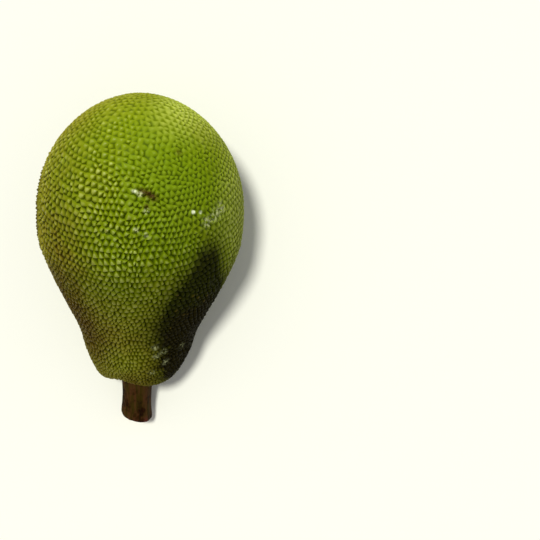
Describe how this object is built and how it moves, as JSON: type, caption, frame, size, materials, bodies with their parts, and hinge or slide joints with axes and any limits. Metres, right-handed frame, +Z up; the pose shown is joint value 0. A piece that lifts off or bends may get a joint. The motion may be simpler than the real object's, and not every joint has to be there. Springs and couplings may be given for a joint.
{
  "type": "jackfruit",
  "caption": "Whole spiny jackfruit lying on its side, a pear-shaped fruit with a blunt neck and a short cut woody stalk, resting on small flat spots of its underside.",
  "frame": {"origin": "middle of the bounding box in x and y, at the height of the surface the fruit lies on", "axes": "+Z up from the surface the fruit lies on, the blossom end towards +Y and the cut stalk towards -Y, so the core runs along Y and dips towards the stalk; +X to the right when looking along +Y"},
  "size_m": [0.2068, 0.3388, 0.211],
  "materials": {
    "spiny_rind": "waxy yellow-green plant rind, satin, with darker green between the spines",
    "stalk_bark": "dark brown ridged bark, matt"
  },
  "bodies": {
    "root": {"fruit": "spiny_rind", "stalk": "stalk_bark"}
  },
  "joints": []
}
